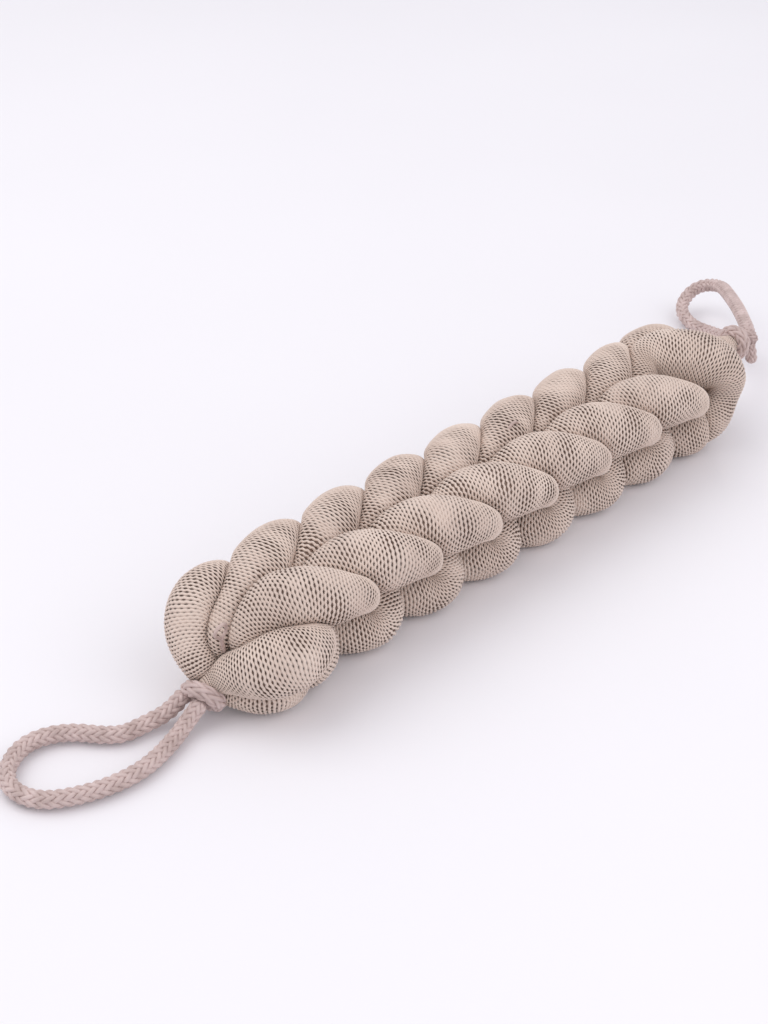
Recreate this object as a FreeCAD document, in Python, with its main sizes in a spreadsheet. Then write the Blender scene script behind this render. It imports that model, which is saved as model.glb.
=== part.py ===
# Back scrubber: one tube of soft netting chain-stitched into a thick strap, with a rope hand loop
# at each end.
#
# Frame, millimetres: the long axis lies along X with end A at -X and end B at +X, Y is the width,
# Z is up, and the strap lies on the plane Z = 0. The origin is the middle of the strap's underside.
#
# One stitch is a loop and a back bar. The loop rises through the loop before it, opens into two
# arms that run towards B on top, and closes in a round end that dips between the arms of the next
# stitch and the bars below. The back bar runs underneath from the far foot of its own loop to the
# near foot of the next loop.

import FreeCAD, Part
import math
import os

Vector = FreeCAD.Vector

doc = FreeCAD.newDocument("BackScrubber")

# ---- driving dimensions -------------------------------------------------------------------------

SIZES = [
    ("pitch", 34),              # from one stitch to the next
    ("stitches", 9),
    ("first_stitch", -192.3),   # where the first stitch is measured from
    ("second_shift", 6.5),      # the second loop's feet stand this much nearer to B
    ("strand", 13),             # packed thickness of the netting tube
    ("foot_half", 7.1),         # half the distance between the two feet of a loop
    ("arm_half", 20.3),         # half the distance between the two arms of a loop
    ("arm_top", 42),            # height of the arms' centre line
    ("arm_start", 17),          # where an arm is fully out to the side
    ("loop_length", 51),        # from the feet to the round end
    ("round_end", 25),          # height of the round end's centre line
    ("first_length", 54.3),     # the loop length of the first stitch, which is spread round end A
    ("first_arm_half", 22.5),
    ("bar_level", 6.1),         # height of the back bars' centre line; they are pressed flat below
    ("closing_top", 40),        # height of the strand that closes the chain
    ("bend_offset", 25.5),      # from the feet of a cut stitch to the bend line
    ("bend_level", 33),         # height of the bend line
    ("bend_angle", 31),         # opening of the notch above the bend line
    ("bend_gap", 0.3),          # half the clearance at the bend line
    ("gather_radius", 13.5),    # the netting where it is drawn together at end A
    ("gather_level", 14),
    ("gather_length", 5),
    ("neck_radius", 4.4),       # the netting under the rope
    ("neck_length", 9),
    ("rope", 7.5),              # rope thickness
    ("turn_radius", 8.2),       # centre line of the rope turn round a neck
    ("turn_clearance", 0.4),
    ("knot_radius", 6.5),
    ("tail_length", 13),
    ("thread", 1.3),            # binding thread thickness
    ("thread_ring", 2.6),       # centre line radius of the binding thread's loop
    ("thread_level", 39),       # height of that loop's centre
]

sheet = doc.addObject("Spreadsheet::Sheet", "Sizes")
for row, (alias, value) in enumerate(SIZES, start=1):
    sheet.set("A%d" % row, alias)
    sheet.set("B%d" % row, str(value))
    sheet.setAlias("B%d" % row, alias)
doc.recompute()


def size(alias):
    return float(getattr(sheet, alias))


PITCH = size("pitch")
COUNT = int(size("stitches"))
STRAND = size("strand")
FOOT = size("foot_half")
ARM = size("arm_half")
TOP = size("arm_top")
END_LEVEL = size("round_end")
BAR = size("bar_level")
ROPE = size("rope")
NEAR, FAR = -1, 1
Y_AXIS = Vector(0, 1, 0)
Z_AXIS = Vector(0, 0, 1)

nodes = {}


def keep(obj, name):
    """Make an object one of the sub-parts, under its own name."""
    obj.Label = name
    nodes[name] = obj
    return obj


def stitch_x(stitch):
    return size("first_stitch") + PITCH * (stitch - 1)


def feet_x(stitch):
    shift = size("second_shift") if stitch == 2 else 0
    return stitch_x(stitch) + shift


# ---- helpers ------------------------------------------------------------------------------------


def route_wire(points):
    """Straight runs joined by tangent arcs, each arc as large as its two runs allow."""
    points = [Vector(*p) for p in points]
    edges = []
    radii = []
    start = points[0]
    for i in range(1, len(points) - 1):
        before = points[i - 1] - points[i]
        after = points[i + 1] - points[i]
        reach = 0.45 * min(before.Length, after.Length)
        half_turn = (math.pi - before.getAngle(after)) / 2
        radius = reach / math.tan(half_turn)
        before.normalize()
        after.normalize()
        inward = before + after
        inward.normalize()
        arc_start = points[i] + before * reach
        arc_middle = points[i] + inward * (radius / math.cos(half_turn) - radius)
        arc_end = points[i] + after * reach
        edges.append(Part.LineSegment(start, arc_start).toShape())
        edges.append(Part.Arc(arc_start, arc_middle, arc_end).toShape())
        radii.append(round(radius, 1))
        start = arc_end
    edges.append(Part.LineSegment(start, points[-1]).toShape())
    return Part.Wire(edges), radii


def tube(name, points, thickness):
    """A round tube of one of the sheet's thicknesses, swept along a route."""
    wire, radii = route_wire(points)
    spine = doc.addObject("Part::Feature", name + "_line")
    spine.Shape = wire
    direction = Vector(*points[1]) - Vector(*points[0])
    circle = doc.addObject("Part::Circle", name + "_section")
    circle.setExpression("Radius", "Sizes.%s / 2" % thickness)
    circle.Placement = FreeCAD.Placement(Vector(*points[0]), FreeCAD.Rotation(Z_AXIS, direction))
    sweep = doc.addObject("Part::Sweep", name + "_tube")
    sweep.Sections = [circle]
    sweep.Spine = (spine, ["Edge%d" % (i + 1) for i in range(len(wire.Edges))])
    sweep.Solid = True
    sweep.Frenet = False
    doc.recompute()
    section = math.pi * size(thickness) ** 2 / 4
    error = 100 * (sweep.Shape.Volume / (section * wire.Length) - 1)
    print("%-28s length %6.1f, volume error %.3f%%, radii %s" % (name, wire.Length, error, radii))
    return sweep


def block(name, corner, height, tilt):
    """A large block used only to cut with, its corner edge lying along Y."""
    box = doc.addObject("Part::Box", name)
    box.Length = 80
    box.Width = 120
    box.Height = height
    box.Placement = FreeCAD.Placement(Vector(*corner), FreeCAD.Rotation(Y_AXIS, tilt))
    return box


def boolean(kind, name, base, tool):
    result = doc.addObject(kind, name)
    result.Base = base
    result.Tool = tool
    return result


def fused(name, shapes):
    result = doc.addObject("Part::MultiFuse", name + "_joined")
    result.Shapes = shapes
    return keep(result, name)


def ball(name, centre, radius):
    sphere = doc.addObject("Part::Sphere", name)
    sphere.setExpression("Radius", radius)
    sphere.Placement.Base = Vector(*centre)
    return sphere


# ---- the two bend lines -------------------------------------------------------------------------
# The strap bends within stitch 3 and within stitch 7. Only the two arms and the back bar of that
# stitch cross the line. They are cut there, with a notch above the line that lets the end lift.

BENT_STITCHES = (3, 7)
cutters = {}
for stitch in BENT_STITCHES:
    line_x = feet_x(stitch) + size("bend_offset")
    gap = size("bend_gap")
    name = "bend_%d" % stitch
    beyond = block(name + "_beyond", (line_x + gap, -60, -20), 120, 0)
    after = block(name + "_after", (line_x - gap, -60, -20), 120, 0)
    notch_corner = (line_x - gap, -60, size("bend_level"))
    notch = block(name + "_notch", notch_corner, 60, -size("bend_angle"))
    before = doc.addObject("Part::MultiFuse", name + "_before")
    before.Shapes = [after, notch]
    cutters[stitch] = (beyond, before)
doc.recompute()

# ---- netting loops and back bars ----------------------------------------------------------------


def arm_points(stitch, side):
    """One arm of a loop, from its foot in the middle of the strap up and out to the round end."""
    if stitch == 1:
        # The first loop has no feet: its arms start low beside gathered end A and swing up.
        out = side * size("first_arm_half")
        swing_x = feet_x(2)
        return [
            (swing_x - 6, out, 9),
            (swing_x - 11, out, TOP - 12),
            (swing_x + 2, out, TOP - 7),
            (stitch_x(1) + size("first_length"), out, END_LEVEL),
        ]
    # The second loop's near foot has no back bar below it and stands on the ground.
    stands = stitch == 2 and side == NEAR
    return [
        (feet_x(stitch), side * FOOT, 0 if stands else END_LEVEL),
        (feet_x(stitch), side * FOOT, TOP),
        (stitch_x(stitch) + size("arm_start"), side * ARM, TOP),
        (stitch_x(stitch) + size("loop_length"), side * ARM, END_LEVEL),
    ]


def bar_points(stitch):
    """From the far foot of a loop along the underside to the near foot of the next loop."""
    end_y = 0 if stitch == COUNT else -FOOT
    return [
        (feet_x(stitch), FOOT, END_LEVEL),
        (feet_x(stitch), FOOT, BAR),
        (feet_x(stitch + 1), end_y, BAR),
        (feet_x(stitch + 1), end_y, END_LEVEL),
    ]


ground = doc.addObject("Part::Box", "ground")
ground.Length = 500
ground.Width = 120
ground.Height = 10
ground.Placement.Base = Vector(-250, -60, -10)

for stitch in range(1, COUNT + 1):
    near = arm_points(stitch, NEAR)
    far = arm_points(stitch, FAR)
    loop_name = "netting_loop_%d" % stitch
    bar_name = "back_bar_%d" % stitch
    loop = tube(loop_name, near + far[::-1], "strand")
    if stitch == 1:
        keep(loop, loop_name)
        continue
    round_bar = tube(bar_name, bar_points(stitch), "strand")
    bar = boolean("Part::Cut", bar_name + "_flattened", round_bar, ground)
    if stitch not in BENT_STITCHES:
        keep(loop, loop_name)
        keep(bar, bar_name)
        continue
    beyond, before = cutters[stitch]
    name = loop_name + "_round_end"
    keep(boolean("Part::Common", name + "_cut", loop, beyond), name)
    for side, points in (("near", near), ("far", far)):
        name = "%s_%s_arm" % (loop_name, side)
        arm = tube(name, points, "strand")
        keep(boolean("Part::Cut", name + "_cut", arm, before), name)
    keep(boolean("Part::Cut", bar_name + "_start_cut", bar, before), bar_name + "_start")
    keep(boolean("Part::Common", bar_name + "_finish_cut", bar, beyond), bar_name + "_finish")

# The strand that closes the chain comes up through the last loop and lies over its round end.
closing_x = feet_x(COUNT + 1)
closing = [
    (closing_x, 0, END_LEVEL),
    (closing_x, 0, size("closing_top")),
    (closing_x + 16, 0, size("closing_top") + 1),
    (closing_x + 32, 0, size("closing_top") - 2),
]
keep(tube("closing_strand", closing, "strand"), "closing_strand")

# ---- gathered ends ------------------------------------------------------------------------------


def gathered_end(name, start, direction, start_radius):
    """The netting drawn together to a neck. Returns where the neck starts and how it is turned."""
    turn = FreeCAD.Rotation(Z_AXIS, direction)
    taper = doc.addObject("Part::Cone", name + "_taper")
    taper.setExpression("Radius1", start_radius)
    taper.setExpression("Radius2", "Sizes.neck_radius")
    taper.setExpression("Height", "Sizes.gather_length")
    taper.Placement = FreeCAD.Placement(start, turn)
    neck_start = start + direction * size("gather_length")
    neck = doc.addObject("Part::Cylinder", name + "_neck")
    neck.setExpression("Radius", "Sizes.neck_radius")
    neck.setExpression("Height", "Sizes.neck_length")
    neck.Placement = FreeCAD.Placement(neck_start, turn)
    fused(name, [taper, neck])
    return neck_start, turn


def rope_turn(name, centre, turn):
    """One turn of rope round a neck."""
    ring = doc.addObject("Part::Torus", name + "_ring")
    ring.setExpression("Radius1", "Sizes.turn_radius")
    ring.setExpression("Radius2", "Sizes.rope / 2")
    ring.Placement = FreeCAD.Placement(centre, turn)
    return keep(ring, name)


towards_a = Vector(-1, 0, 0)
gather_a = Vector(feet_x(2) - STRAND / 2 - 0.1, 0, size("gather_level"))
neck_a, turn_a = gathered_end("gathered_end_a", gather_a, towards_a, "Sizes.gather_radius")
ring_a = neck_a + towards_a * (ROPE / 2 + 0.1)
rope_turn("rope_turn_a", ring_a, turn_a)

towards_b = Vector(*closing[-1]) - Vector(*closing[-2])
towards_b.normalize()
neck_b, turn_b = gathered_end("gathered_end_b", Vector(*closing[-1]), towards_b, "Sizes.strand / 2")
rope_turn("rope_turn_b", neck_b + towards_b * (ROPE / 2 + 0.1), turn_b)

# ---- rope ---------------------------------------------------------------------------------------
# Loop A lies flat in front of end A. Its two legs leave either side of the neck.
leg_x = ring_a.x - ROPE - size("turn_clearance")
leg_y = size("turn_radius")
loop_a = [
    (leg_x, leg_y, 13),
    (-187.8, 7, 6),
    (-200.8, 11, 4),
    (-212.8, 27, 4),
    (-228.8, 31, 4),
    (-241.8, 19, 4),
    (-240.8, 3, 4),
    (-226.8, -7, 4),
    (-207.8, -11, 4),
    (-190.8, -8, 5),
    (leg_x, -leg_y, 13),
]
loop_a_tube = tube("rope_loop_a", loop_a, "rope")
loop_a_starts = [
    ball("rope_loop_a_start", loop_a[0], "Sizes.rope / 2"),
    ball("rope_loop_a_finish", loop_a[-1], "Sizes.rope / 2"),
]
fused("rope_loop_a", [loop_a_tube] + loop_a_starts)

# Knot B hangs at the neck of end B. Loop B slopes away from it to the far side and settles flat.
knot_gap = 0.1
knot = neck_b + towards_b * (size("neck_length") + size("knot_radius") + knot_gap)
keep(ball("rope_knot_b_ball", tuple(knot), "Sizes.knot_radius"), "rope_knot_b")


def leaving(direction, clearance):
    """A point just outside the knot, where a rope leaves it."""
    direction = Vector(*direction)
    direction.normalize()
    return knot + direction * (size("knot_radius") + clearance)


loop_b = [
    tuple(leaving((0.93, 0.3, 0.1), 2.6)),
    (187.2, 16, 31),
    (209.2, 37, 24.5),
    (230.2, 60, 18),
    (228.2, 74, 12.5),
    (213.2, 72, 6),
    (205.2, 58, 4),
    (206.2, 44, 4),
    (193.2, 22, 12),
    tuple(leaving((0.15, 0.75, -0.65), 2.6)),
]
keep(tube("rope_loop_b", loop_b, "rope"), "rope_loop_b")

down = Vector(-0.1, -0.35, -0.93)
down.normalize()
tail = doc.addObject("Part::Cylinder", "rope_tail_b_stub")
tail.setExpression("Radius", "Sizes.rope / 2")
tail.setExpression("Height", "Sizes.tail_length")
tail.Placement = FreeCAD.Placement(leaving(down, knot_gap), FreeCAD.Rotation(Z_AXIS, down))
keep(tail, "rope_tail_b")

# ---- binding thread -----------------------------------------------------------------------------
# Two small loops of thread stand up between the arms, one on a stem from gathered end A and one on
# a stem from a round end.
for number, foot_x, foot_z in (
    (1, gather_a.x - 1.5, 25.4),
    (2, stitch_x(5) + size("loop_length"), END_LEVEL + STRAND / 2),
):
    name = "binding_thread_%d" % number
    ring = doc.addObject("Part::Torus", name + "_ring")
    ring.setExpression("Radius1", "Sizes.thread_ring")
    ring.setExpression("Radius2", "Sizes.thread / 2")
    ring_place = Vector(foot_x, 0, size("thread_level"))
    ring.Placement = FreeCAD.Placement(ring_place, FreeCAD.Rotation(Vector(1, 0, 0), 90))
    stem = doc.addObject("Part::Cylinder", name + "_stem")
    stem.setExpression("Radius", "Sizes.thread / 2")
    stem.Height = size("thread_level") - size("thread_ring") - foot_z - 0.1
    stem.Placement.Base = Vector(foot_x, 0, foot_z + 0.1)
    fused(name, [ring, stem])

# ---- check and write ----------------------------------------------------------------------------
doc.recompute()
for obj in doc.Objects:
    state = set(obj.State)
    if state & {"Invalid", "Error"}:
        raise RuntimeError("%s is in state %s" % (obj.Name, state))

os.makedirs("parts", exist_ok=True)
for name, obj in nodes.items():
    shape = obj.Shape
    if shape.isNull() or not shape.isValid():
        raise RuntimeError("%s has no valid shape" % name)
    if len(shape.Solids) != 1:
        raise RuntimeError("%s has %d solids" % (name, len(shape.Solids)))
    shape.exportStep("parts/%s.step" % name)

whole = FreeCAD.BoundBox()
for name, obj in nodes.items():
    whole.add(obj.Shape.BoundBox)
print("nodes", len(nodes))
print("box X %.1f..%.1f Y %.1f..%.1f Z %.1f..%.1f" % (
    whole.XMin, whole.XMax, whole.YMin, whole.YMax, whole.ZMin, whole.ZMax))
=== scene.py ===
"""Looks of the back scrubber: a chain-stitched strap of soft netting with a plaited rope loop at each end.

Lengths are in metres, in the part's own frame: X runs along the strap from end A to end B, Y across
it to the far side, and Z up. MM turns a size given in millimetres into metres.
"""

import math

import bpy
import numpy as np
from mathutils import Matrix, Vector, noise


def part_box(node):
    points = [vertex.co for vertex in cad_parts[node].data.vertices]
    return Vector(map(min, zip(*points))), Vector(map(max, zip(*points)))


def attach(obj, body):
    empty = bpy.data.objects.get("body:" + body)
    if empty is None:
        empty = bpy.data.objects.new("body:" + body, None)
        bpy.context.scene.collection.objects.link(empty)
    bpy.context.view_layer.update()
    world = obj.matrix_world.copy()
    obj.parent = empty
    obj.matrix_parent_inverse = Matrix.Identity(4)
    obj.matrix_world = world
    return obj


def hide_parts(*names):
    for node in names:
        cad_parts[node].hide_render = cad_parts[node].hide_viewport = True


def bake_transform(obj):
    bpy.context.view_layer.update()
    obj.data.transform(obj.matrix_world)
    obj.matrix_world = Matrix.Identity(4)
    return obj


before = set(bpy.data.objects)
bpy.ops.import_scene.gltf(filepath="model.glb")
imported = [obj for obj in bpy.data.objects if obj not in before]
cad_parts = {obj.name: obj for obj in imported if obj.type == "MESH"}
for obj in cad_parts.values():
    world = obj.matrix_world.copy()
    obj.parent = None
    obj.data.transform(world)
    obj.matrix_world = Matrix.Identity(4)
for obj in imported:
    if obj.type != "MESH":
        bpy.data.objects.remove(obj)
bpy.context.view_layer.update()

MM = 0.001
TURN = 2 * math.pi

# ---- camera, light and floor --------------------------------------------------------------------

scene = bpy.context.scene
scene.view_settings.view_transform = "Standard"

AZIMUTH = math.radians(45.8)
ELEVATION = math.radians(32.2)
TARGET = Vector((-46.9, 28.4, 20)) * MM
DISTANCE = 736 * MM
VIEW_ANGLE = math.radians(31.44)

look = Vector((
    math.sin(AZIMUTH) * math.cos(ELEVATION),
    math.cos(AZIMUTH) * math.cos(ELEVATION),
    -math.sin(ELEVATION),
))


def aimed(obj, place, target):
    """Puts a camera or a light at a place, looking at the target."""
    scene.collection.objects.link(obj)
    obj.location = place
    obj.rotation_euler = (Vector(target) - Vector(place)).to_track_quat("-Z", "Y").to_euler()
    return obj


lens = bpy.data.cameras.new("camera")
lens.sensor_fit = "VERTICAL"
lens.lens = lens.sensor_height / 2 / math.tan(VIEW_ANGLE / 2)
lens.clip_start = 0.01
scene.camera = aimed(bpy.data.objects.new("camera", lens), TARGET - look * DISTANCE, TARGET)


def area_light(name, place, size, power, colour):
    lamp = bpy.data.lights.new(name, "AREA")
    lamp.shape = "DISK"
    lamp.size = size
    lamp.energy = power
    lamp.color = colour
    aimed(bpy.data.objects.new(name, lamp), place, (0, 0, 0))


area_light("key_light", (-0.45, 0.6, 1.25), 1.5, 6, (1.0, 0.985, 0.97))
area_light("fill_light", (0.25, -1.1, 1.05), 1.5, 4.6, (1.0, 0.99, 1.0))

world = bpy.data.worlds.new("studio")
scene.world = world
world.use_nodes = True
world.node_tree.nodes["Background"].inputs["Color"].default_value = (0.96, 0.96, 1.0, 1)
world.node_tree.nodes["Background"].inputs["Strength"].default_value = 0.86

# ---- materials ----------------------------------------------------------------------------------


def new_material(name, roughness, sheen, sheen_tint):
    """A fabric material, its node tree and its shader."""
    material = bpy.data.materials.new(name)
    material.use_nodes = True
    shader = material.node_tree.nodes["Principled BSDF"]
    shader.inputs["Roughness"].default_value = roughness
    shader.inputs["Sheen Weight"].default_value = sheen
    shader.inputs["Sheen Roughness"].default_value = 0.5
    shader.inputs["Sheen Tint"].default_value = (*sheen_tint, 1)
    shader.inputs["Specular IOR Level"].default_value = 0.25
    return material, material.node_tree, shader


def mottled(tree, scale, low, high):
    """A colour that wanders between two tones, following the object's own coordinates."""
    place = tree.nodes.new("ShaderNodeTexCoord")
    pattern = tree.nodes.new("ShaderNodeTexNoise")
    pattern.inputs["Scale"].default_value = scale
    pattern.inputs["Detail"].default_value = 3.0
    ramp = tree.nodes.new("ShaderNodeValToRGB")
    ramp.color_ramp.elements[0].position = 0.32
    ramp.color_ramp.elements[0].color = (*low, 1)
    ramp.color_ramp.elements[1].position = 0.68
    ramp.color_ramp.elements[1].color = (*high, 1)
    tree.links.new(place.outputs["Object"], pattern.inputs["Vector"])
    tree.links.new(pattern.outputs["Fac"], ramp.inputs["Fac"])
    return ramp.outputs["Color"]


def fine_bump(tree, shader, scale, distance):
    """The fuzz of single filaments."""
    place = tree.nodes.new("ShaderNodeTexCoord")
    pattern = tree.nodes.new("ShaderNodeTexNoise")
    pattern.inputs["Scale"].default_value = scale
    pattern.inputs["Detail"].default_value = 2.0
    bump = tree.nodes.new("ShaderNodeBump")
    bump.inputs["Strength"].default_value = 0.5
    bump.inputs["Distance"].default_value = distance
    tree.links.new(place.outputs["Object"], pattern.inputs["Vector"])
    tree.links.new(pattern.outputs["Fac"], bump.inputs["Height"])
    tree.links.new(bump.outputs["Normal"], shader.inputs["Normal"])


def floor_material():
    material, tree, shader = new_material("pale_floor", 0.6, 0.0, (1, 1, 1))
    tree.links.new(mottled(tree, 2.0, (0.85, 0.83, 0.86), (0.88, 0.86, 0.89)), shader.inputs["Base Color"])
    return material


def net_thread_material():
    """The knitted nylon threads: taupe, a little warmer and paler in places."""
    material, tree, shader = new_material("net_thread", 0.7, 0.35, (1.0, 0.93, 0.88))
    colour = mottled(tree, 45.0, (0.63, 0.50, 0.43), (0.75, 0.615, 0.535))
    tree.links.new(colour, shader.inputs["Base Color"])
    fine_bump(tree, shader, 2500.0, 0.1 * MM)
    return material


def net_inside_painted_shade_material():
    """The layers of netting under the outermost one, coloured with painted shade: dark for the shade seen
    through the outer threads' slits.
    """
    material, tree, shader = new_material("net_inside_painted_shade", 0.9, 0.1, (1.0, 0.9, 0.85))
    colour = mottled(tree, 60.0, (0.18, 0.115, 0.09), (0.28, 0.19, 0.15))
    tree.links.new(colour, shader.inputs["Base Color"])
    fine_bump(tree, shader, 900.0, 0.4 * MM)
    return material


def rope_material():
    """Plaited cord of mauve beige filaments."""
    material, tree, shader = new_material("rope_yarn", 0.6, 0.2, (1.0, 0.9, 0.88))
    colour = mottled(tree, 160.0, (0.50, 0.385, 0.36), (0.66, 0.525, 0.50))
    tree.links.new(colour, shader.inputs["Base Color"])
    fine_bump(tree, shader, 1800.0, 0.15 * MM)
    return material


def rope_inside_painted_shade_material():
    """Painted shade: the dark colour of the core yarn between the strands of the plait, standing for the
    shade there.
    """
    material, _, shader = new_material("rope_inside_painted_shade", 0.9, 0.0, (1, 1, 1))
    shader.inputs["Base Color"].default_value = (0.12, 0.08, 0.075, 1)
    return material


def thread_material():
    """The thick binding thread."""
    material, tree, shader = new_material("binding_thread", 0.7, 0.2, (1.0, 0.9, 0.88))
    tree.links.new(mottled(tree, 300.0, (0.40, 0.29, 0.26), (0.58, 0.45, 0.41)), shader.inputs["Base Color"])
    fine_bump(tree, shader, 1800.0, 0.15 * MM)
    return material


NET_THREAD = net_thread_material()
NET_INSIDE_PAINTED_SHADE = net_inside_painted_shade_material()
ROPE_YARN = rope_material()
ROPE_INSIDE_PAINTED_SHADE = rope_inside_painted_shade_material()
BINDING_THREAD = thread_material()

bpy.ops.mesh.primitive_plane_add(size=12, location=(0, 0, 0))
floor = bpy.context.object
floor.name = "floor"
floor.data.materials.append(floor_material())

# ---- mesh helpers -------------------------------------------------------------------------------


def new_object(name, vertices, quads, material):
    """A smooth mesh object made of four-sided faces."""
    vertices = np.asarray(vertices, float).reshape(-1, 3)
    quads = np.asarray(quads, np.int32)
    mesh = bpy.data.meshes.new(name)
    mesh.vertices.add(len(vertices))
    mesh.vertices.foreach_set("co", vertices.ravel())
    mesh.loops.add(quads.size)
    mesh.loops.foreach_set("vertex_index", quads.ravel())
    mesh.polygons.add(len(quads))
    mesh.polygons.foreach_set("loop_start", np.arange(0, quads.size, 4, dtype=np.int32))
    mesh.polygons.foreach_set("use_smooth", np.ones(len(quads), bool))
    mesh.update(calc_edges=True)
    mesh.materials.append(material)
    obj = bpy.data.objects.new(name, mesh)
    scene.collection.objects.link(obj)
    return obj


def unit(vectors):
    return vectors / np.linalg.norm(vectors, axis=-1, keepdims=True)


def side_frames(line, closed=False):
    """Two sideways directions along a line, carried along it without any twist."""
    tangents = unit(np.gradient(line, axis=0))
    if closed:
        tangents = unit(np.roll(line, -1, axis=0) - np.roll(line, 1, axis=0))
    side = np.cross(tangents[0], (0, 0, 1.0))
    if np.linalg.norm(side) < 0.1:
        side = np.cross(tangents[0], (0, 1.0, 0))
    sides = np.zeros_like(line)
    for i, tangent in enumerate(tangents):
        side = side - tangent * np.dot(tangent, side)
        side = side / np.linalg.norm(side)
        sides[i] = side
    return sides, np.cross(tangents, sides)


def tube_quads(rings, around, closed=False):
    """Four-sided faces between neighbouring rings of points."""
    ring = np.arange(rings if closed else rings - 1)[:, None]
    below, above = ring * around, (ring + 1) % rings * around
    point = np.arange(around)[None, :]
    after = (point + 1) % around
    return np.stack([below + point, below + after, above + after, above + point], axis=2).reshape(-1, 4)


def copies_of(quads, copies, size):
    """The same faces again for each copy of a set of points."""
    return (quads[None, :, :] + (np.arange(copies) * size)[:, None, None]).reshape(-1, 4)


def between(a, b, share):
    return a + (b - a) * share


PER_SPAN = 10               # points of the smooth curve between two key points


def smooth_curve(points):
    """A centripetal Catmull-Rom curve through the points."""
    line = []
    for p0, p1, p2, p3 in zip(points, points[1:], points[2:], points[3:]):
        k1 = math.sqrt(np.linalg.norm(p1 - p0))
        k2 = k1 + math.sqrt(np.linalg.norm(p2 - p1))
        k3 = k2 + math.sqrt(np.linalg.norm(p3 - p2))
        for t in np.linspace(k1, k2, PER_SPAN, endpoint=False):
            a1 = between(p0, p1, t / k1)
            a2 = between(p1, p2, (t - k1) / (k2 - k1))
            a3 = between(p2, p3, (t - k2) / (k3 - k2))
            b1 = between(a1, a2, t / k2)
            b2 = between(a2, a3, (t - k1) / (k3 - k1))
            line.append(between(b1, b2, (t - k1) / (k2 - k1)))
    return np.array(line)


def lengths_along(line):
    return np.concatenate([[0], np.cumsum(np.linalg.norm(np.diff(line[:, :3], axis=0), axis=1))])


def resampled(line, stations):
    along = lengths_along(line)
    return np.stack([np.interp(stations, along, column) for column in line.T], axis=1)


# ---- the strap's centre line --------------------------------------------------------------------
# One long tube of netting. Each stitch goes up from its near foot, out along the near arm, round
# the end, back along the far arm, down its far foot and along the back bar to the next near foot.

STITCHES = 9
HALF_STRAND = 6.5 * MM
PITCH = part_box("netting_loop_5")[0].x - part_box("netting_loop_4")[0].x
FIRST_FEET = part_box("netting_loop_4")[0].x + HALF_STRAND - 3 * PITCH

# Each key point of a stitch: distance along from its feet, distance across, height, and the
# netting's radius when nothing presses on it, all in millimetres.
NEAR_ARM = [(0, -5, 26, 8), (8, -4, 33, 9), (18, -6, 37, 11.5), (29, -11.5, 37.5, 12.5),
            (38, -17, 37, 10.5), (47, -21.5, 35.5, 7), (53, -18, 30, 6)]
ROUND_END = [(56, 0, 25, 7.5)]
FAR_ARM = [(60, 13, 29, 7), (57, 19.5, 33, 8.5), (49, 19.5, 36, 11.5), (38, 16, 37.5, 12.5),
           (25, 11, 37, 12), (12, 6.5, 33, 10), (1, 6, 26, 8)]
BACK_BAR = [(3, 9, 14, 9), (13, 2, 11, 11), (24, -8, 11, 12), (32, -13, 13, 11)]

# The ends differ. At end A both arms of the first loop run down into the neck. At end B the last
# near arm crosses over the end and folds down under it, and the strand runs on into the other neck.
FIRST_NEAR_ARM = [(19.5, 0, 14, 1), (21, 0, 14, 1), (23, 0, 14, 3.5), (26.5, 0, 14, 4.2),
                  (32.5, -6, 18, 8), (38.5, -16, 22.5, 12), (45.5, -22, 25.5, 12.5), (52.5, -24, 27, 10),
                  (60, -21.5, 26.5, 7)]
FIRST_ROUND_END = [(62.5, 0, 23, 8)]
FIRST_FAR_ARM = [(60.5, 15, 28, 8), (50.5, 19, 34, 11), (38.5, 17, 33.5, 12), (30.5, 12, 27, 10.5),
                 (28, 6, 19, 7)]
FIRST_BAR = [(32.5, -1, 11, 7), (38.5, -9, 11, 10), (45.5, -14, 12, 12), (52.5, -13, 13, 11)]
SECOND_NEAR_ARM = [(7, -4, 27, 8), (12, -4.5, 33, 9)] + NEAR_ARM[2:]
LAST_NEAR_ARM = [(1.5, 0, 26, 8), (7.5, 7, 33, 10), (17.5, 11, 37, 12), (26.5, 6, 40, 13.5),
                 (34.5, -2, 40.5, 13.5), (40.5, -10, 38.5, 12.5), (44, -16.5, 33.5, 10.5),
                 (42.5, -17, 25, 6.5), (38.5, -16, 16, 8.5), (33.5, -11, 10, 9)]
LAST_ROUND_END = [(32.5, 0, 9, 9)]
LAST_FAR_ARM = [(38.5, 12, 11, 9), (46.5, 17, 19, 10), (48.5, 17, 29, 10), (44.5, 18, 35, 11),
                (34.5, 19, 36.5, 12), (21.5, 17.5, 36, 11.5), (9.5, 13, 32, 10), (2.5, 7, 26, 8)]
NECK_B = (74, 0, 33.5, 3.4)
CLOSING = [(31.5, -4, 14, 9), (35.5, 0, 20, 10), (44.5, 2, 26, 11), (58.5, 2, 31, 9), NECK_B,
           (77.5, 0, 33.3, 3), (80.5, 0, 33, 1), (81.5, 0, 33, 1)]
USUAL_STITCH = NEAR_ARM + ROUND_END + FAR_ARM + BACK_BAR
OTHER_STITCHES = {
    1: FIRST_NEAR_ARM + FIRST_ROUND_END + FIRST_FAR_ARM + FIRST_BAR,
    2: SECOND_NEAR_ARM + ROUND_END + FAR_ARM + BACK_BAR,
    STITCHES: LAST_NEAR_ARM + LAST_ROUND_END + LAST_FAR_ARM + BACK_BAR + CLOSING,
}


def strap_points():
    """Points along the whole strap with their radii, and how many of them come before each stitch."""
    points = []
    starts = []
    for stitch in range(1, STITCHES + 1):
        keys = OTHER_STITCHES.get(stitch, USUAL_STITCH)
        feet = (FIRST_FEET + (stitch - 1) * PITCH) / MM
        starts.append(len(points))
        points += [(feet + along, across, height, radius) for along, across, height, radius in keys]
    return np.array(points) * MM, starts


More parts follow.
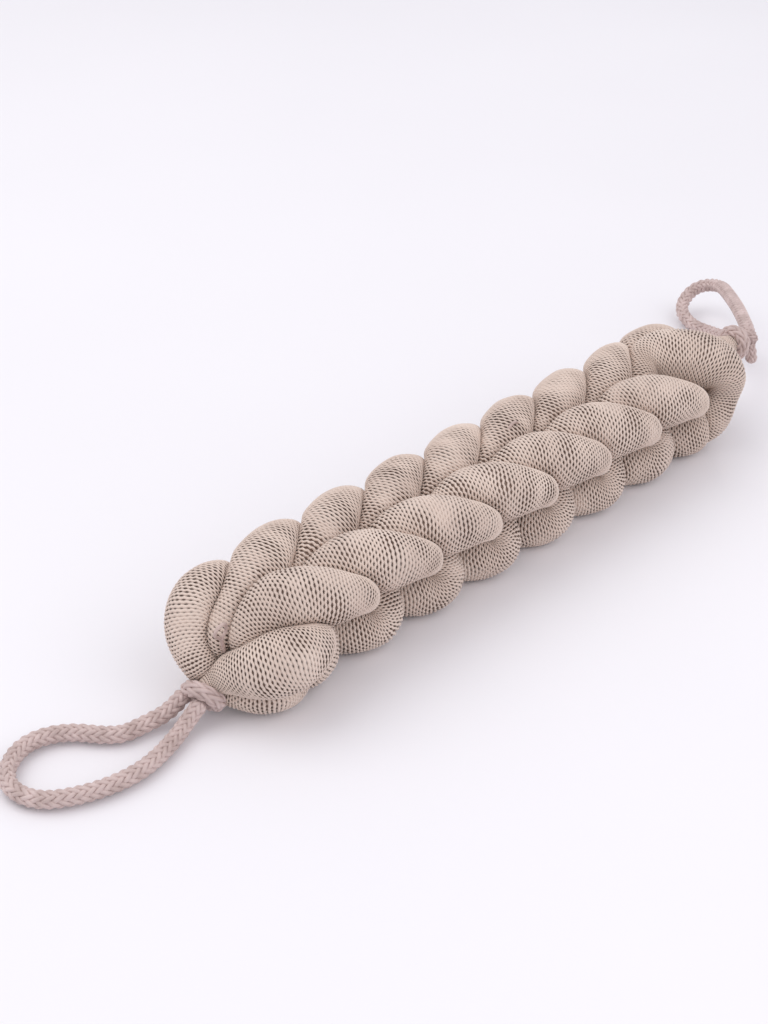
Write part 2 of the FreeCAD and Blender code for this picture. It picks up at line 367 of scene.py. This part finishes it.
WAVES = 28                  # slits round the tube
PER_WAVE = 6
AROUND = WAVES * PER_WAVE
COARSER = 3                 # the swelling is worked out at every third point round the tube
ROW = 1.45 * MM             # from one row of slits to the next
CLOSER_AT_BENDS = 0.8       # how far the rows keep their spacing on the outer side of a bend
ROW_WANDER = 0.15           # how much the rows' spacing wanders along the strand, and its scale
ROW_WANDER_SCALE = 25
LINE_SMOOTHING = 30         # passes that round off the centre line's corners
BEND_WINDOW = 7             # points, a millimetre apart, over which its bend is averaged
SAME_STRETCH = 26 * MM      # stretches of the strand nearer than this along it don't press on each other
TIGHTEST = 0.9              # the netting's reach towards the inside of a bend, in bend radii
TOUCHING = 2.2              # strands further apart than this many radii can't press on each other
PRESS_SMOOTHING = 4         # passes that soften the creases between two stretches
LUMPINESS = 0.035           # share of the radius, with the lumps' scales round the tube and along it
LUMPS_ROUND = 2.2
LUMPS_ALONG = 40
THREADS_ROOM = 0.985        # the surface is drawn in by this share, to leave room for the threads
NET_ABOVE_FLOOR = 0.7 * MM
INSIDE_ABOVE_FLOOR = 0.3 * MM


def strap_line():
    """Points one row apart along the strap's centre line with their radii, and each stitch's first row.

    The rows lie closer together where the strand bends, so that they stay even on its outer side.
    """
    points, starts = strap_points()
    curve = smooth_curve(points)
    along = lengths_along(curve)
    places = np.arange(0, along[-1], MM)
    line = resampled(curve, places)
    for _ in range(LINE_SMOOTHING):
        line[1:-1] = 0.25 * line[:-2] + 0.5 * line[1:-1] + 0.25 * line[2:]
    headings = unit(np.gradient(line[:, :3], axis=0))
    bend = np.linalg.norm(np.gradient(headings, axis=0), axis=1) / MM
    bend = np.convolve(bend, np.ones(BEND_WINDOW) / BEND_WINDOW, "same")
    wander = np.array([noise.noise(Vector((place * ROW_WANDER_SCALE, 3.1, 0))) for place in places])
    density = (1 + CLOSER_AT_BENDS * bend * line[:, 3]) * (1 + ROW_WANDER * wander) / ROW
    counted = np.cumsum(density) * MM
    stations = np.interp(np.arange(int(counted[0]) + 1, int(counted[-1])), counted, places)
    line = np.stack([np.interp(stations, places, column) for column in line.T], axis=1)
    first_rows = [int(np.searchsorted(stations, along[max(0, (s - 1) * PER_SPAN)])) for s in starts]
    return line[:, :3], line[:, 3], stations, first_rows


def pressed_radii(line, free_radii, stations, directions):
    """How far the netting swells each way until it meets the next strand, the floor or its free radius."""
    radii = np.repeat(free_radii[:, None], directions.shape[1], axis=1)
    reach_limit = (TOUCHING * free_radii.max()) ** 2
    for i, centre in enumerate(line):
        offsets = line - centre
        squares = np.einsum("ij,ij->i", offsets, offsets)
        pressing = (np.abs(stations - stations[i]) > SAME_STRETCH) & (squares < reach_limit)
        if not pressing.any():
            continue
        reach = offsets[pressing] @ directions[i].T
        share = free_radii[i] / (free_radii[i] + free_radii[pressing])
        limits = np.where(reach > 1e-6, (share * squares[pressing])[:, None] / np.maximum(reach, 1e-6), 1)
        radii[i] = np.minimum(radii[i], limits.min(axis=0))
    tangents = unit(np.gradient(line, axis=0))
    bending = np.gradient(tangents, axis=0) / np.gradient(stations)[:, None]
    inward = np.einsum("ij,ikj->ik", bending, directions)
    radii = np.minimum(radii, np.where(inward > 0.1, TIGHTEST / np.maximum(inward, 0.1), 1))
    downward = -directions[:, :, 2]
    to_floor = np.where(downward > 0.05, line[:, 2:3] / np.maximum(downward, 0.05), 1)
    radii = np.minimum(radii, to_floor)
    for _ in range(PRESS_SMOOTHING):
        radii = (radii + np.roll(radii, 1, axis=1) + np.roll(radii, -1, axis=1)) / 3
        radii[1:-1] = (radii[:-2] + 2 * radii[1:-1] + radii[2:]) / 4
    return radii


def strap_surface():
    """A grid of points on the strap's outer surface, and the outward directions there."""
    line, free_radii, stations, first_rows = strap_line()
    sides, ups = side_frames(line)
    angles = np.arange(AROUND) * TURN / AROUND
    directions = (sides[:, None, :] * np.cos(angles)[None, :, None]
                  + ups[:, None, :] * np.sin(angles)[None, :, None])
    coarse = pressed_radii(line, free_radii, stations, directions[:, ::COARSER])
    turns = np.arange(AROUND) / COARSER
    whole = np.arange(AROUND / COARSER + 1)
    radii = np.array([np.interp(turns, whole, np.append(row, row[0])) for row in coarse])
    for i, centre in enumerate(line):
        for j in range(0, AROUND, COARSER):
            lump = noise.noise(Vector(directions[i, j] * LUMPS_ROUND) + Vector(centre) * LUMPS_ALONG)
            radii[i, j:j + COARSER] *= 1 + LUMPINESS * lump
    surface = line[:, None, :] + directions * radii[:, :, None] * THREADS_ROOM
    surface[:, :, 2] = np.maximum(surface[:, :, 2], NET_ABOVE_FLOOR)
    return surface, directions, first_rows


SWAY = 0.2 * MM             # how far a thread winds from side to side
SLIT = 0.62 * MM            # the usual widest gap between two threads
THREAD_HEIGHT = 0.36 * MM
INSIDE_DEPTH = 0.5 * MM     # the inner layers, dark with painted shade, lie this far under the threads
SMALLEST_ROW = 0.3 * MM
SECTION = ((-1, 0), (0, 1), (1, 0), (0, -1))    # a thread's four corners: along the tube, and outward
UNEVEN_SCALES = (70, 110, 55)                   # of the slits' width, the threads' bow and their drift
LOOSE_SWAY = 0.4            # how much looser knitting adds to the sway and to the slits
LOOSE_SLIT = 1.3
BOW = 1.1                   # how far a thread strays along the tube, in rows
DRIFT = 2.2                 # how far its waves slip round the tube, in radians
MOST_SWAY = 0.2             # the rest in rows
SMALLEST_SLIT = 0.1
LARGEST_SLIT = 0.48


def net_of_threads(name, first, last):
    """Knitted threads that wind round the tube, each touching the next once a wave, with slits between."""
    rows = np.arange(first, last)
    turns = np.arange(AROUND)
    places = surface[rows][:, ::PER_WAVE].reshape(-1, 3)
    uneven = np.array([
        [noise.noise(Vector(place) * scale) for scale in UNEVEN_SCALES] for place in places
    ]).reshape(len(rows), WAVES, len(UNEVEN_SCALES))
    turns_closed = np.arange(WAVES + 1) * PER_WAVE
    uneven = np.concatenate([uneven, uneven[:, :1]], axis=1)
    loose, bow, drift = [
        np.array([np.interp(turns, turns_closed, row) for row in uneven[:, :, kind]])
        for kind in range(len(UNEVEN_SCALES))
    ]
    wave = np.cos(TURN * turns / PER_WAVE + DRIFT * drift) * np.where(rows % 2, -1, 1)[:, None]
    before, after = surface[np.maximum(rows - 1, 0)], surface[np.minimum(rows + 1, len(surface) - 1)]
    row = np.maximum(np.linalg.norm(after - before, axis=2) / 2, SMALLEST_ROW)
    sway = np.minimum(SWAY * (1 + LOOSE_SWAY * loose) / row, MOST_SWAY)
    slit = np.clip(SLIT * (1 + LOOSE_SLIT * loose) / row, SMALLEST_SLIT, LARGEST_SLIT)
    middle = rows[:, None] + sway * wave + BOW * bow
    half_width = 0.5 + sway - 0.5 * slit
    section = []
    for along, out in SECTION:
        place = np.clip(middle + along * half_width, 0, len(surface) - 1.001)
        below = place.astype(int)
        share = (place - below)[:, :, None]
        point = between(surface[below, turns], surface[below + 1, turns], share)
        section.append(point + outward[below, turns] * THREAD_HEIGHT * out)
    rings = np.stack(section, axis=2)
    corners = len(SECTION)
    quads = copies_of(tube_quads(AROUND, corners, closed=True), len(rows), AROUND * corners)
    return new_object(name, rings, quads, NET_THREAD)


surface, outward, first_rows = strap_surface()
MIDDLE_STITCH = 5           # the only one that neither bend reaches


def follow_strap(piece, stitch):
    """The piece stays where it is, except in the middle stitch, whose pieces move with the strap's middle."""
    if stitch < MIDDLE_STITCH:
        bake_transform(piece)
    elif stitch > MIDDLE_STITCH:
        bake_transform(piece)
    else:
        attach(piece, "braid_middle")


MOST_ROWS = 130             # rows of netting in one mesh
last_rows = first_rows[1:] + [len(surface) - 1]
for stitch, (first, last) in enumerate(zip(first_rows, last_rows), start=1):
    stretch = slice(first, last + 1)
    # The inner tube's dark colour is painted shade, standing for the shade deep in the netting.
    inside = surface[stretch] - outward[stretch] * INSIDE_DEPTH
    inside[:, :, 2] = np.maximum(inside[:, :, 2], INSIDE_ABOVE_FLOOR)
    core = new_object("net_inside_%d" % stitch, inside, tube_quads(len(inside), AROUND), NET_INSIDE_PAINTED_SHADE)
    follow_strap(core, stitch)
    solids = ("netting_loop_%d" % stitch, "back_bar_%d" % stitch)
    replaced = [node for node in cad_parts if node.startswith(solids)]
    if stitch == 1:
        replaced.append("gathered_end_a")
    if stitch == STITCHES:
        replaced += ["closing_strand", "gathered_end_b"]
    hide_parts(*replaced)
    cuts = np.linspace(first, last, math.ceil((last - first) / MOST_ROWS) + 1).astype(int)
    for number, (start, end) in enumerate(zip(cuts, cuts[1:]), start=1):
        follow_strap(net_of_threads("net_threads_%d_%d" % (stitch, number), start, end), stitch)

# ---- rope ---------------------------------------------------------------------------------------

ROPE = 6.4 * MM
CARRIERS = 8                # strands that wind each way round the rope
LEAD = 27 * MM              # along the rope for one turn of a strand
STRAND_WIDTH = 0.13         # half a strand's width, its depth and the core, dark with painted shade, in rope thicknesses
STRAND_DEPTH = 0.11
CORE = 0.33
SEAL = 2.5 * MM             # the rope rounds off over this length at a sealed end
STEP = 0.6 * MM             # between points along a rope


def nurbs_line(name, points, spacing):
    """Evenly spaced points on the smooth line that has these control points."""
    curve = bpy.data.curves.new(name, "CURVE")
    curve.dimensions = "3D"
    curve.resolution_u = 24
    spline = curve.splines.new("NURBS")
    spline.points.add(len(points) - 1)
    for point, place in zip(spline.points, points):
        point.co = (*place, 1)
    spline.order_u = 3
    spline.use_endpoint_u = True
    obj = bpy.data.objects.new(name, curve)
    scene.collection.objects.link(obj)
    bpy.context.view_layer.update()
    mesh = bpy.data.meshes.new_from_object(obj)
    line = np.array([v.co for v in mesh.vertices], float)
    bpy.data.objects.remove(obj)
    length = lengths_along(line)[-1]
    return resampled(line, np.linspace(0, length, int(length / spacing) + 1)), length


def plaited(name, line, thickness, closed=False, sealed=False):
    """Round plait: strands wind both ways and pass over two and under two, in columns of chevrons."""
    sides, ups = side_frames(line, closed)
    along = lengths_along(line)
    length = along[-1]
    lead = LEAD * thickness / ROPE
    if closed:
        length += np.linalg.norm(line[0] - line[-1])
        lead = length / max(1, round(length / lead))
        slip = math.atan2(np.dot(sides[0], ups[-1]), np.dot(sides[0], sides[-1]))
    else:
        slip = 0.0
    fullness = np.ones(len(line))
    if sealed:
        fullness = np.sqrt(1 - np.clip(1 - np.minimum(along, length - along) / SEAL, 0, 0.99) ** 2)
    half_width, half_depth = STRAND_WIDTH * thickness * fullness, STRAND_DEPTH * thickness * fullness
    middle = 0.5 * thickness * fullness - 1.5 * half_depth
    around = 8
    section = np.arange(around) * TURN / around
    strands = []
    for way in (1, -1):
        for carrier in range(CARRIERS):
            start = carrier * TURN / CARRIERS + (TURN / CARRIERS / 2 if way < 0 else 0)
            spin = start + way * TURN * along / lead
            weave = way * np.cos(CARRIERS / 2 * spin)
            spin = spin + slip * along / length
            out = sides * np.cos(spin)[:, None] + ups * np.sin(spin)[:, None]
            centre = line + out * (middle + 0.7 * half_depth * weave)[:, None]
            heading = unit(np.gradient(centre, axis=0))
            across = unit(np.cross(heading, out))
            strands.append(centre[:, None, :]
                           + across[:, None, :] * (half_width[:, None] * np.cos(section))[:, :, None]
                           + out[:, None, :] * (half_depth[:, None] * np.sin(section))[:, :, None])
    core = CORE * thickness * fullness
    strands.append(line[:, None, :] + sides[:, None, :] * (core[:, None] * np.cos(section))[:, :, None]
                   + ups[:, None, :] * (core[:, None] * np.sin(section))[:, :, None])
    one = tube_quads(len(line), around, closed)
    rope = new_object(name, strands, copies_of(one, len(strands), len(line) * around), ROPE_YARN)
    # The core's dark colour is painted shade, standing for the shade between the strands.
    rope.data.materials.append(ROPE_INSIDE_PAINTED_SHADE)
    painted_shade_core = np.zeros(len(rope.data.polygons), np.int32)
    painted_shade_core[-len(one):] = 1
    rope.data.polygons.foreach_set("material_index", painted_shade_core)
    return rope


# The hand loops, in millimetres. Loop B starts and ends at its hinge, inside the knot.
TIE_B = (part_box("rope_knot_b")[0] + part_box("rope_knot_b")[1]) / 2 / MM
KNOT_B = TIE_B - Vector((1.8, 0, 1.5))
LOOP_A = [(-172.8, 5, 11), (-177.8, 6.5, 5), (-190.8, 8.5, 4), (-200.8, 10, 4), (-211.8, 26.5, 4),
          (-227.8, 31, 4), (-243.3, 19.5, 4), (-242.3, 3, 4), (-226.8, -7, 4), (-207.8, -11, 4),
          (-190.8, -7, 4), (-176.8, -1.5, 5), (-171.8, -3, 11)]
LOOP_B = [tuple(TIE_B + Vector((0.5, 0.5, 0))), (185.2, 17.5, 31.5), (207.7, 38, 25), (230.2, 60, 18),
          (228.2, 74, 12.5), (213.2, 72, 6), (205.2, 58, 4), (206.2, 44, 4), (193.2, 22, 12),
          tuple(TIE_B + Vector((0, 0.8, -1)))]

for name, points, body, node in (
    ("rope_a", LOOP_A, "handle_a", "rope_loop_a"),
    ("rope_b", LOOP_B, "handle_b", "rope_loop_b"),
):
    points = [tuple(c * MM for c in p) for p in points]
    line, length = nurbs_line(name + "_line", points, STEP)
    rope = plaited(name, line, ROPE, sealed=True)
    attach(rope, body)
    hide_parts(node)


def ring_line(centre, axis, radius):
    """A closed circle of points about an axis."""
    axis = Vector(axis).normalized()
    side = axis.orthogonal().normalized()
    other = axis.cross(side)
    count = int(TURN * radius / STEP)
    return np.array([
        Vector(centre) + (side * math.cos(TURN * i / count) + other * math.sin(TURN * i / count)) * radius
        for i in range(count)
    ])


# The turn of rope round each neck. The one at end A lies lower than its solid, over the hand loop's ends.
RING_A = (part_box("rope_turn_a")[0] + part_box("rope_turn_a")[1]) / 2 + Vector((-1.5, 0, -4.2)) * MM
RING_B = Vector(NECK_B[:3]) * MM + Vector((FIRST_FEET + (STITCHES - 1) * PITCH, 0, 0))
for node, body, centre, axis, radius in (
    ("rope_turn_a", "braid_end_a", RING_A, (0.80, 0.24, 0.55), 5.6),
    ("rope_turn_b", "braid_end_b", RING_B, (0.983, 0, -0.184), 5.2),
):
    turn = plaited(node + "_plait", ring_line(centre, axis, radius * MM), ROPE, closed=True)
    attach(turn, body)
    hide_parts(node)

# The knot at end B: two turns of rope drawn tight, and its sealed tail.
DRAWN_TIGHT = 0.8 * ROPE
TAIL_ROPE = 0.85 * ROPE
for number, axis, radius in ((1, (0.6, 0.2, 0.77), 2.9), (2, (0.2, 0.95, 0.25), 2.5)):
    ring = ring_line(KNOT_B * MM, axis, radius * MM)
    knot = plaited("rope_knot_b_%d" % number, ring, DRAWN_TIGHT, closed=True)
    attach(knot, "braid_end_b")
    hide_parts("rope_knot_b")

TAIL = [KNOT_B + Vector(step) for step in ((0, 0, 0), (0, -2.5, -4), (-0.8, -4, -7.5), (-1, -5, -11.5))]
tail_line, _ = nurbs_line("rope_tail_line", [tuple(point * MM) for point in TAIL], STEP)
tail = plaited("rope_tail", tail_line, TAIL_ROPE, sealed=True)
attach(tail, "braid_end_b")
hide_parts("rope_tail_b")

# ---- binding thread -----------------------------------------------------------------------------
# Two small loops of thick thread that stand up out of the netting. Their route has, for each point,
# its distance along from the loop's middle in loop widths, its distance across in millimetres and
# its distance below the loop's top in loop widths.

THREAD_ROUTE = ((0.6, 3, 2.2), (0.1, 0.6, 0.9), (-0.5, 0, 0.55), (-0.3, -0.5, 0), (0.4, 0, 0),
                (0.5, 0.5, 0.6), (-0.1, -0.4, 0.9), (0.5, 2.4, 2.2))
THREAD_RADIUS = 0.65 * MM


def tube_mesh(name, line, radius, around, material):
    """A plain round tube along a line."""
    sides, ups = side_frames(line)
    angles = np.arange(around) * TURN / around
    rings = (line[:, None, :] + radius * (sides[:, None, :] * np.cos(angles)[None, :, None]
                                          + ups[:, None, :] * np.sin(angles)[None, :, None]))
    return new_object(name, rings, tube_quads(len(line), around), material)


for number, body, aside in ((1, "braid_end_a", (-2.8, -4.3, -2.5)), (2, "braid_middle", (11, 6.5, 6.5))):
    node = "binding_thread_%d" % number
    low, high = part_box(node)
    middle = (low + high) / 2
    width = high.x - low.x
    route = [
        Vector((middle.x + along * width, middle.y + across * MM, high.z - down * width)) + Vector(aside) * MM
        for along, across, down in THREAD_ROUTE
    ]
    line, _ = nurbs_line(node + "_line", route, 0.3 * MM)
    thread = tube_mesh(node + "_yarn", line, THREAD_RADIUS, 10, BINDING_THREAD)
    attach(thread, body)
    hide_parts(node)
